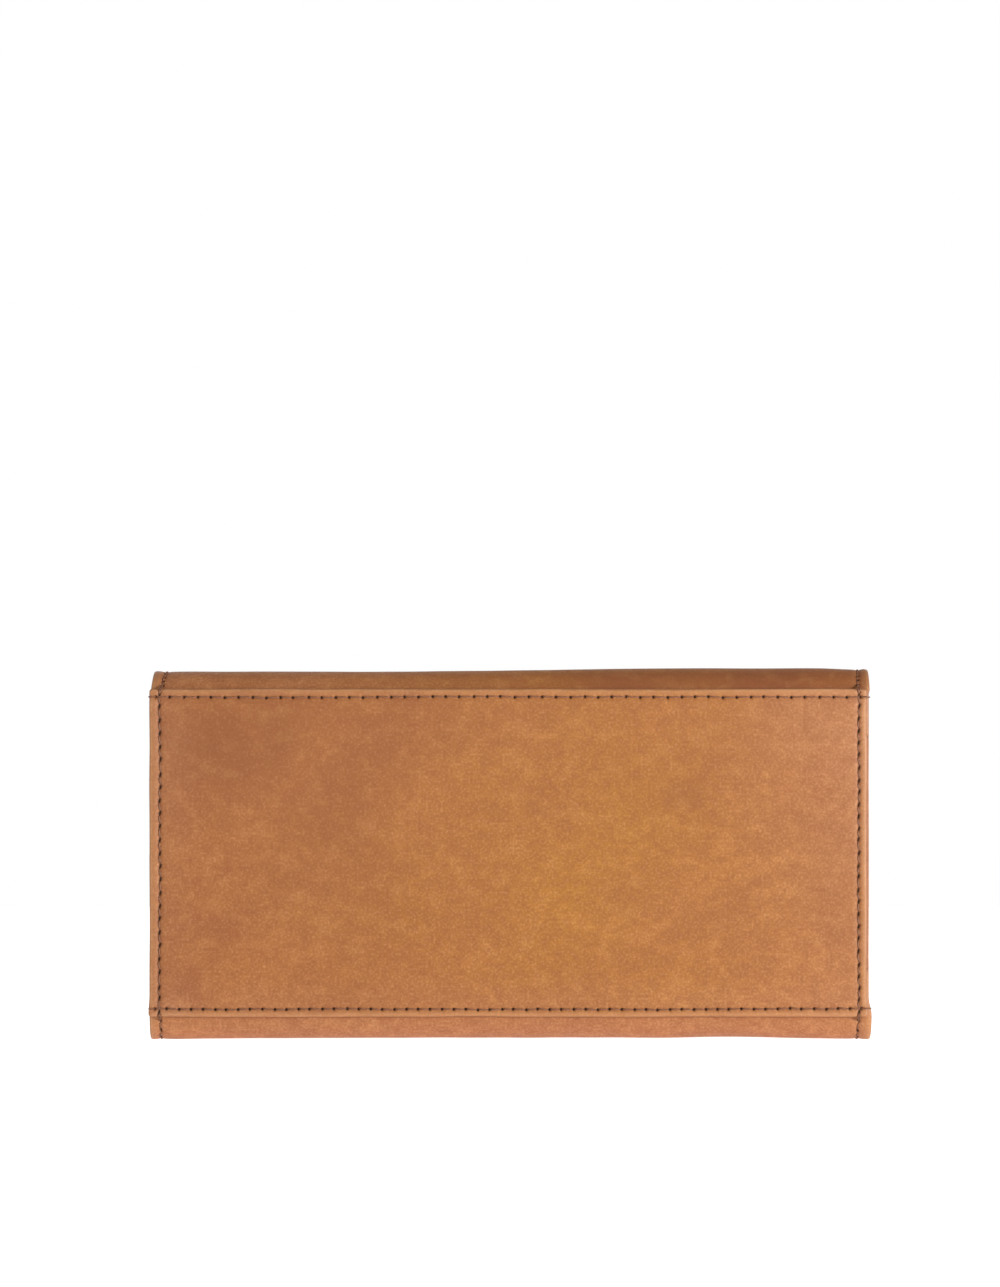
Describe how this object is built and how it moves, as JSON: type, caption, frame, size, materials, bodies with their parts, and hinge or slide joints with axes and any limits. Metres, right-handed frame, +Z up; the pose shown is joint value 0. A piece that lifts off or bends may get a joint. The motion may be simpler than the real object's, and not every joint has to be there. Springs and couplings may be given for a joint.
{
  "type": "long wallet",
  "caption": "Long leather wallet with a stitched back panel, a front flap closed by a press stud, gusseted note compartments, card slots and a zipped coin pocket.",
  "frame": {"origin": "bottom centre of the bounding box of the closed wallet, which stands on its base", "axes": "+X along the length, to the right seen from the back; +Y from the back towards the flap; +Z up"},
  "size_m": [0.195, 0.027, 0.1005],
  "materials": {
    "outer_leather": "smooth waxed cognac leather",
    "inner_leather": "thin matt leather",
    "lining": "brown twill",
    "board": "bonded leather fibre board",
    "thread": "waxed polyester thread",
    "zip_tape": "woven tape",
    "old_brass": "brushed antique brass"
  },
  "bodies": {
    "wallet_back": {"back_panel": "outer_leather", "back_board": "board", "back_lining": "lining", "back_seam_top": "thread", "back_seam_bottom": "thread", "back_seam_left": "thread", "back_seam_right": "thread", "base_leather": "outer_leather", "base_seam_left": "thread", "base_seam_right": "thread", "card_slot_left_upper": "inner_leather", "card_slot_left_lower": "inner_leather", "card_slot_right_upper": "inner_leather", "card_slot_right_lower": "inner_leather", "crest_tuck": "outer_leather", "tuck_seam_left": "thread", "tuck_seam_right": "thread", "gusset_rear_left": "inner_leather", "gusset_rear_right": "inner_leather", "gusset_front_left": "inner_leather", "gusset_front_right": "inner_leather"},
    "crest": {"crest_leather": "outer_leather", "crest_lining": "lining", "crest_seam_left": "thread", "crest_seam_right": "thread"},
    "flap": {"flap_leather": "outer_leather", "flap_lining": "lining", "flap_seam": "thread", "snap_cap": "old_brass", "snap_socket": "old_brass"},
    "front_wall": {"front_leather": "outer_leather", "front_lining": "lining", "front_seam_hem": "thread", "front_seam_left": "thread", "front_seam_right": "thread", "snap_stud": "old_brass", "snap_post": "old_brass"},
    "pocket": {"coin_pocket": "inner_leather", "zip_tape_front": "zip_tape", "zip_tape_rear": "zip_tape", "zip_teeth_front": "old_brass", "zip_teeth_rear": "old_brass", "zip_top_stop_front": "old_brass", "zip_top_stop_rear": "old_brass", "zip_bottom_stop": "old_brass"},
    "slider": {"zip_slider": "old_brass"},
    "pull": {"zip_pull": "old_brass"}
  },
  "joints": [
    {"name": "flap_lift", "type": "hinge", "parent": "wallet_back", "child": "crest", "pos_m": [0, -0.01005, 0.0985], "axis": [1, 0, 0], "range_deg": [0, 95]},
    {"name": "flap_unroll", "type": "hinge", "parent": "crest", "child": "flap", "pos_m": [0, 0.0108, 0.09875], "axis": [1, 0, 0], "range_deg": [0, 91]},
    {"name": "front_wall_open", "type": "hinge", "parent": "wallet_back", "child": "front_wall", "pos_m": [0, 0.0069, 0.00125], "axis": [-1, 0, 0], "range_deg": [0, 20], "deforming": ["gusset_rear_left", "gusset_rear_right", "gusset_front_left", "gusset_front_right"]},
    {"name": "pocket_tilt", "type": "hinge", "parent": "wallet_back", "child": "pocket", "pos_m": [0, 0.0069, 0.00125], "axis": [-1, 0, 0], "range_deg": [0, 10], "deforming": ["gusset_rear_left", "gusset_rear_right", "gusset_front_left", "gusset_front_right"]},
    {"name": "zip_slide", "type": "slide", "parent": "pocket", "child": "slider", "axis": [-1, 0, 0], "range_m": [0, 0.138], "deforming": ["zip_teeth_front", "zip_teeth_rear"]},
    {"name": "pull_swing", "type": "hinge", "parent": "slider", "child": "pull", "pos_m": [0.0715, -0.00115, 0.08], "axis": [0, 1, 0], "range_deg": [0, 180]}
  ],
  "couplings": [
    {"joint": "flap_unroll", "follows": "flap_lift", "ratio": 0.95},
    {"joint": "front_wall_open", "follows": "flap_lift", "ratio": 0.2},
    {"joint": "pocket_tilt", "follows": "flap_lift", "ratio": 0.1}
  ]
}
